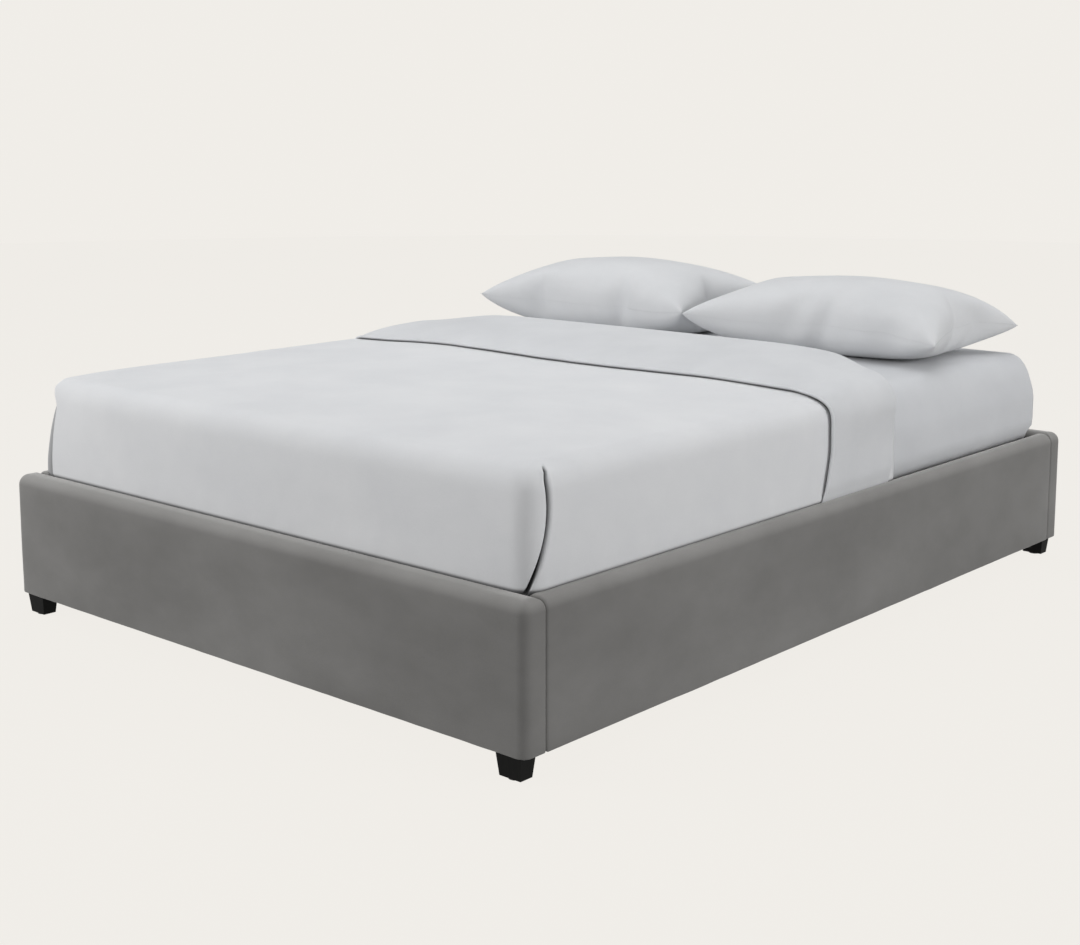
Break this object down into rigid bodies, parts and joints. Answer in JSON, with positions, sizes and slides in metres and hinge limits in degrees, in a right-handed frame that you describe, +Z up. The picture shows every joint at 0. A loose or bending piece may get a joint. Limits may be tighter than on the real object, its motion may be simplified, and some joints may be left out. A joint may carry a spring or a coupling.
{
  "type": "upholstered platform bed",
  "caption": "Low platform bed with fabric-covered foot, head and side panels around a slatted deck, made up with mattress, turned-down duvet and pillows.",
  "frame": {"origin": "on the floor, under the centre of the bed", "axes": "+Z up, +Y towards the head, +X towards the right side seen from the foot"},
  "size_m": [1.64, 2.18, 0.7502],
  "materials": {
    "upholstery": "short-pile woven upholstery, soft sheen",
    "panel_foam": "open-cell foam, matte",
    "mattress_foam": "open-cell foam, matte",
    "panel_board": "raw laminated board",
    "frame_timber": "planed softwood",
    "slat_timber": "planed birch",
    "black_wood": "black satin paint",
    "steel_plate": "zinc plated plate",
    "fastener_steel": "zinc plated",
    "insert_brass": "turned",
    "glide_nylon": "black nylon",
    "felt": "pressed felt",
    "webbing": "woven tape",
    "ticking": "knitted mattress cover",
    "sheet_cotton": "plain woven cotton, matte",
    "duvet_cotton": "plain woven cotton, matte",
    "pillow_cotton": "plain woven cotton, matte",
    "pillow_fill": "fibre fill in a plain lining"
  },
  "bodies": {
    "frame": {"bracket_foot_left": "steel_plate", "bracket_foot_right": "steel_plate", "bracket_head_left": "steel_plate", "bracket_head_right": "steel_plate", "centre_beam": "frame_timber", "corner_bolts": "fastener_steel", "felt_pads": "felt", "foot_panel_board": "panel_board", "foot_panel_cover": "upholstery", "foot_panel_foam": "panel_foam", "frame_screws": "fastener_steel", "hanger_foot": "steel_plate", "hanger_head": "steel_plate", "head_panel_board": "panel_board", "head_panel_cover": "upholstery", "head_panel_foam": "panel_foam", "left_ledger": "frame_timber", "left_rail_board": "panel_board", "left_rail_cover": "upholstery", "left_rail_foam": "panel_foam", "leg_bolts": "fastener_steel", "leg_foot_left": "black_wood", "leg_foot_right": "black_wood", "leg_head_left": "black_wood", "leg_head_right": "black_wood", "post_foot": "black_wood", "post_head": "black_wood", "post_middle": "black_wood", "right_ledger": "frame_timber", "right_rail_board": "panel_board", "right_rail_cover": "upholstery", "right_rail_foam": "panel_foam", "slat_01": "slat_timber", "slat_02": "slat_timber", "slat_03": "slat_timber", "slat_04": "slat_timber", "slat_05": "slat_timber", "slat_06": "slat_timber", "slat_07": "slat_timber", "slat_08": "slat_timber", "slat_09": "slat_timber", "slat_10": "slat_timber", "slat_11": "slat_timber", "slat_12": "slat_timber", "slat_tapes": "webbing", "threaded_inserts": "insert_brass"},
    "mattress": {"mattress_ticking": "ticking", "mattress_base_foam": "mattress_foam", "mattress_comfort_foam": "mattress_foam", "fitted_sheet": "sheet_cotton", "duvet": "duvet_cotton", "duvet_turndown": "duvet_cotton"},
    "left_pillow": {"pillow_left_case": "pillow_cotton", "pillow_left_insert": "pillow_fill"},
    "right_pillow": {"pillow_right_case": "pillow_cotton", "pillow_right_insert": "pillow_fill"},
    "foot_post_glide": {"glide_foot": "glide_nylon"},
    "middle_post_glide": {"glide_middle": "glide_nylon"},
    "head_post_glide": {"glide_head": "glide_nylon"}
  },
  "joints": [
    {"name": "mattress_lift", "type": "slide", "parent": "frame", "child": "mattress", "axis": [0, 0, 1], "range_m": [0, 0.32]},
    {"name": "left_pillow_lift", "type": "slide", "parent": "mattress", "child": "left_pillow", "axis": [0, 0, 1], "range_m": [0, 0.3]},
    {"name": "right_pillow_lift", "type": "slide", "parent": "mattress", "child": "right_pillow", "axis": [0, 0, 1], "range_m": [0, 0.3]},
    {"name": "foot_glide_screw", "type": "slide", "parent": "frame", "child": "foot_post_glide", "axis": [0, 0, -1], "range_m": [0, 0.012]},
    {"name": "middle_glide_screw", "type": "slide", "parent": "frame", "child": "middle_post_glide", "axis": [0, 0, -1], "range_m": [0, 0.012]},
    {"name": "head_glide_screw", "type": "slide", "parent": "frame", "child": "head_post_glide", "axis": [0, 0, -1], "range_m": [0, 0.012]}
  ]
}
